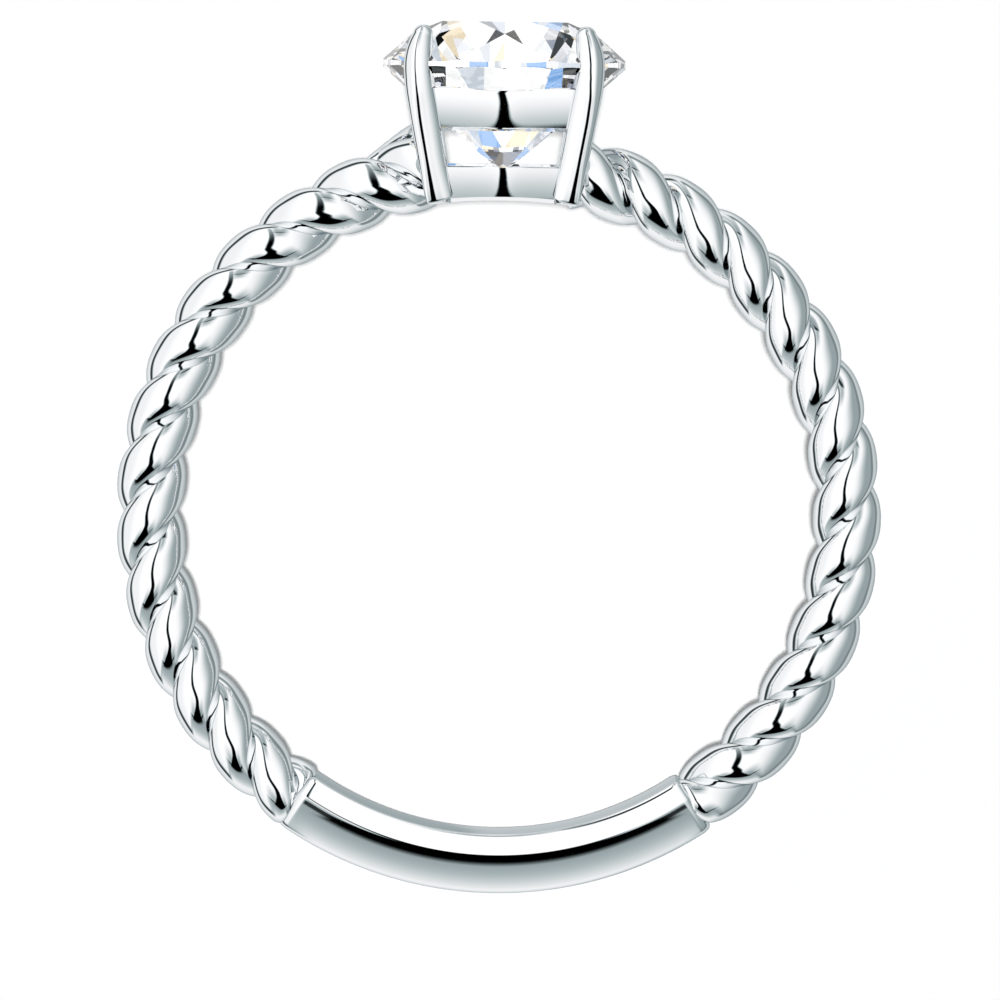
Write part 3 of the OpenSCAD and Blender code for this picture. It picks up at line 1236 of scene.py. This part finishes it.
@dataclass(frozen=True)
class Tent:
    """The white tent that the silver mirrors, with a dark gap in front of the camera.

    A direction is given by side and rise: the sine of its angle from the way back to the
    camera, shared out to the picture's right and top, over 1 plus the cosine. They tell how
    far a face that mirrors it into the camera leans. Reach is the root of the sum of their
    squares, and the zone under the camera fans out below it.

    Attributes:
        least: Least value of 1 plus the cosine.
        under_spread, under_edge: How far the zone fans out, and its soft edge.
        gap_half, gap_curve, gap_growth: Half width of the gap, and what it grows by below:
            the curve times the square of the depth, and steps.
        gap_edge: Where the gap's soft edge starts and ends beside its half width.
        gap_bend, gap_lean: A step aside, which keeps the gap off the plate's ridge, and how
            far it leans above.
        gap_foot, level, gap_top, gap_thin: Steps that end the gap below, that limit this to
            below, that end it above, and that weaken it upwards.
        line_*: The dark line round outlines, weaker on the right.
        inner_light, sides, side_depth, right_sides, right: The middle's light, and what
            both sides and the right take off it.
        foot_fade, foot_edge, least_light: What the zone under the camera takes off it, and
            the least that is left.
        outer_*: The light round the outlines, darker in the zone under the camera and on
            the right, and the steps to it, outer_under in that zone.
        tint_rise, dark_tint: Light over which a cold tint gives way to white.
    """

    least: float = 0.02
    under_spread: float = 0.52
    under_edge: float = 0.22
    gap_half: float = 0.036
    gap_curve: float = 0.5
    gap_growth: tuple = (Step(0.3, 0.5, 0.06), Step(0.45, 0.9, 0.2))
    gap_edge: tuple = (-0.01, 0.025)
    gap_bend: Step = Step(-0.24, -0.03, 0.085)
    gap_lean: float = 0.15
    gap_foot: Step = Step(0.62, 0.7)
    level: Step = Step(-0.1, 0.1)
    gap_top: Step = Step(0.9, 1.2)
    gap_thin: Step = Step(0.1, 0.8, 0.4)
    line_reach: float = 1.4
    line_edge: Step = Step(0.09, 0.28)
    line_depth: float = 0.95
    line_right: Step = Step(-0.2, 0.8, 0.5)
    inner_light: float = 1.15
    sides: Step = Step(0.3, 0.75)
    side_depth: float = 0.2
    right_sides: Step = Step(0.0, 0.3, 0.25)
    right: Step = Step(0.05, 0.5, 0.3)
    foot_fade: Step = Step(0.15, 0.5, 0.65)
    foot_edge: Step = Step(0.56, 0.575, 0.7)
    least_light: float = 0.03
    outer_light: float = 0.97
    outer_foot: Step = Step(0.6, 1.35)
    outer_depth: float = 0.58
    outer_right: Step = Step(0.2, 1.2, 0.25)
    outer_from: Step = Step(1.25, 1.6)
    outer_under: Step = Step(0.605, 0.63)
    tint_rise: Step = Step(0.3, 1.0)
    dark_tint: tuple = (0.8, 0.95, 0.98, 1.0)

    def gap(self, side: Wire, rise: Wire, reach: Wire) -> Wire:
        """Works out how dark the gap makes a direction.

        Args:
            side: The direction's share to the picture's right.
            rise: Its share to the picture's top.
            reach: Its distance from the way back to the camera.

        Returns:
            1 where side, moved by the bend and the lean, is less than the half width, and 0
            elsewhere, times what the steps at its ends leave.
        """
        below = (0 - rise).math("MAXIMUM", 0.0)
        half = self.gap_half + below * below * self.gap_curve
        for step in self.gap_growth:
            half = half + step.at(below)
        off = side + self.gap_bend.at(rise) + rise.math("MAXIMUM", 0.0) * self.gap_lean
        start, end = self.gap_edge
        gap = 1 - abs(off).rise(half + start, half + end)
        gap = gap * (1 - self.gap_foot.at(reach) * (1 - self.level.at(rise)))
        return gap * (1 - self.gap_top.at(rise)) * (1 - self.gap_thin.at(rise))

    def inner(self, side: Wire, reach: Wire, under: Wire) -> Wire:
        """Works out the middle's light.

        Args:
            side: The direction's share to the picture's right.
            reach: Its distance from the way back to the camera.
            under: How far it lies in the zone under the camera, from 0 to 1.

        Returns:
            The light less what the sides and the zone take off it.
        """
        sides = self.sides.at(abs(side)) * (self.side_depth + self.right_sides.at(side))
        foot = (self.foot_fade.at(reach) + self.foot_edge.at(reach)) * under
        light = self.inner_light - (sides + self.right.at(side)) - foot
        return light.math("MAXIMUM", self.least_light)

    def brightness(self, side: Wire, rise: Wire) -> Wire:
        """Brightness of the tent in a direction.

        Args:
            side: The direction's share to the picture's right.
            rise: Its share to the picture's top.

        Returns:
            The mix of the middle's and the outlines' light, times what the gap and the line
            let through.
        """
        reach = (side * side + rise * rise).math("SQRT")
        below = (0 - rise).math("MAXIMUM", 0.0)
        under = 1 - (abs(side) - below * self.under_spread).rise(0.0, self.under_edge)
        foot = under * (1 - self.outer_foot.at(reach)) * self.outer_depth
        outer = self.outer_light - foot - self.outer_right.at(side)
        share = self.outer_from.at(reach) * (1 - under) + self.outer_under.at(reach) * under
        line = (1 - self.line_edge.at(abs(reach - self.line_reach))) * (1 - under)
        line = line * (self.line_depth - self.line_right.at(side))
        light = self.inner(side, reach, under) * (1 - share) + outer * share
        return light * (1 - self.gap(side, rise, reach)) * (1 - line)


@dataclass
class Studio:
    """The floor, the light and the camera.

    The picture looks along the finger, so the camera hangs over the ring as it lies.

    Attributes:
        centre_px: Pixel on which the ring's centre falls.
        raise_deg, lamp_raise_deg: How far the line of sight and the lamp's light are raised
            from the finger's axis.
        patches: Colours that are seen through the stone, each with the place between 0 and
            1 from which it is picked.
    """

    pose: RestPose
    tent: Tent = Tent()
    distance_mm: float = 200.0
    scale_px_mm: float = 37.1
    picture_px: float = 1000.0
    centre_px: tuple = (498.5, 513.4)
    raise_deg: float = 3.6
    roll_deg: float = 0.75
    sensor_mm: float = 36.0
    clip_m: tuple = (0.01, 20.0)
    floor_size: float = 4.0
    lamp_strength: float = 2.5
    lamp_spread_deg: float = 4.0
    lamp_raise_deg: float = 1.5
    soft_strength: float = 0.25
    spark_scale: float = 5.6
    spark_strength: float = 1.25
    patches: tuple = (
        (0.0, (0.01, 0.01, 0.015)), (0.08, (0.2, 0.23, 0.3)), (0.13, (0.6, 0.65, 0.72)),
        (0.23, (0.2, 0.42, 0.8)), (0.28, (0.95, 0.82, 0.6)), (0.36, (0.8, 0.8, 0.84)),
        (0.46, (1.0, 1.0, 1.0)),
    )

    def sight_axes(self, raise_deg: float) -> Matrix:
        """Directions of a line of sight.

        Args:
            raise_deg: How far the line is raised from the finger's axis.

        Returns:
            Columns that point to the picture's right, to its top and back along the line.
        """
        nod = Matrix.Rotation(math.radians(-raise_deg), 3, "X")
        roll = Matrix.Rotation(math.radians(self.roll_deg), 3, "Z")
        return self.pose.axes @ nod @ roll

    def add_camera(self) -> None:
        """Sets the camera so that the ring's centre falls on its pixel at the photo's scale.

        The lens is the sensor's width times the distance over the width that is in view.
        """
        axes = self.sight_axes(self.raise_deg)
        view_mm = self.picture_px / self.scale_px_mm
        lens = bpy.data.cameras.new("camera")
        lens.sensor_width = self.sensor_mm
        lens.lens = self.sensor_mm * self.distance_mm / view_mm
        lens.clip_start, lens.clip_end = self.clip_m
        shift_x = (self.picture_px / 2 - self.centre_px[0]) / self.scale_px_mm
        shift_y = (self.centre_px[1] - self.picture_px / 2) / self.scale_px_mm
        away = axes @ Vector((shift_x, shift_y, self.distance_mm)) * MM
        camera = add_object("camera", lens)
        camera.matrix_world = Matrix.Translation(self.pose.centre + away) @ axes.to_4x4()
        bpy.context.scene.camera = camera

    def add_floor(self) -> None:
        """Adds the plain pale floor."""
        h = self.floor_size / 2
        mesh = bpy.data.meshes.new("floor")
        mesh.from_pydata([(-h, -h, 0), (h, -h, 0), (h, h, 0), (-h, h, 0)], [], [(0, 1, 2, 3)])
        mesh.materials.append(PaleFloor().build())
        floor = add_object("floor", mesh)
        floor.visible_transmission = floor.visible_glossy = False

    def sparkle(self, graph: Graph, ray: bpy.types.NodeSocket) -> bpy.types.NodeSocket:
        """Adds the light that is seen through the stone.

        Args:
            graph: The world's graph.
            ray: Where a ray goes.

        Returns:
            The light: white with a few dark and coloured patches, as from the things that
            stand about a studio. Each cell round the ring draws a number that picks one.
        """
        cells = graph.add("ShaderNodeTexVoronoi", {"feature": "F1"},
                          {"Vector": ray, "Scale": self.spark_scale})
        pick = graph.add("ShaderNodeSeparateColor", {}, {"Color": cells.outputs["Color"]})
        ramp = graph.add("ShaderNodeValToRGB", {}, {"Fac": pick.outputs["Red"]})
        stops = ramp.color_ramp
        stops.interpolation = "CONSTANT"
        for place, colour in self.patches:
            stop = stops.elements.new(place) if place else stops.elements[0]
            stop.color = (*colour, 1.0)
        stops.elements.remove(stops.elements[-1])
        return graph.light(ramp.outputs["Color"], self.spark_strength)

    def add_light(self) -> None:
        """Lights the scene by the world.

        The silver mirrors the tent. Light through the stone, light that the floor scatters
        and the background that the camera sees are each worked out apart.
        """
        world = bpy.data.worlds.new("tent")
        bpy.context.scene.world = world
        world.use_nodes = True
        graph = Graph(world.node_tree)
        ray = graph.add("ShaderNodeTexCoord").outputs["Generated"]
        axes = self.sight_axes(self.raise_deg)
        right, up, back = (
            Wire(graph, graph.add("ShaderNodeVectorMath", {"operation": "DOT_PRODUCT"},
                                  {0: ray, 1: axes.col[i]}).outputs["Value"]) for i in range(3))
        over = (1 + back).math("MAXIMUM", self.tent.least)
        light = self.tent.brightness(right / over, up / over)
        tint = graph.mix(self.tent.tint_rise.at(light), self.tent.dark_tint, WHITE)
        shader = graph.light(tint, light.socket)
        path = graph.add("ShaderNodeLightPath").outputs
        for kind, other in (("Is Transmission Ray", self.sparkle(graph, ray)),
                            ("Is Diffuse Ray", graph.light(WHITE, self.soft_strength)),
                            ("Is Camera Ray", graph.light(WHITE, 1.0))):
            mixed = graph.add("ShaderNodeMixShader", {}, {0: path[kind], 1: shader, 2: other})
            shader = mixed.outputs[0]
        graph.add("ShaderNodeOutputWorld", {}, {"Surface": shader})

    def add_lamp(self) -> None:
        """Adds a broad lamp behind the camera, so that the ring's shadow stays beneath it."""
        sun = bpy.data.lights.new("lamp", "SUN")
        sun.energy, sun.angle = self.lamp_strength, math.radians(self.lamp_spread_deg)
        lamp = add_object("lamp", sun)
        lamp.visible_glossy = lamp.visible_transmission = False
        lamp.matrix_world = self.sight_axes(self.lamp_raise_deg).to_4x4()

    def build(self) -> None:
        """Adds the floor, the light and the camera."""
        self.add_floor()
        self.add_lamp()
        self.add_light()
        self.add_camera()
        bpy.context.scene.view_settings.view_transform = "Standard"


def main() -> None:
    """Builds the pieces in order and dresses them."""
    logging.basicConfig(level=logging.INFO, format="%(name)s: %(message)s")
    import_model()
    pose = RestPose(RingSizes())
    silver = PolishedSilver().build()
    metal = [RopeHalf(pose, silver, Side.RIGHT, groove_deg=25.0),
             RopeHalf(pose, silver, Side.LEFT, groove_deg=20.5),
             BackPlate(pose, silver), Setting(pose, silver)]
    pieces = [piece for part in metal for piece in part.build()]
    for piece in pieces:
        piece.visible_transmission = False
        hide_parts(SILVER_NODE)
    stone, = Brilliant(pose, ClearStone().build()).build()
    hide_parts(STONE_NODE)
    for piece in [*pieces, stone]:
        LOG.info("%s: %d faces", piece.name, len(piece.data.polygons))
    Studio(pose).build()
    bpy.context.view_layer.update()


if __name__ == "__main__":
    main()
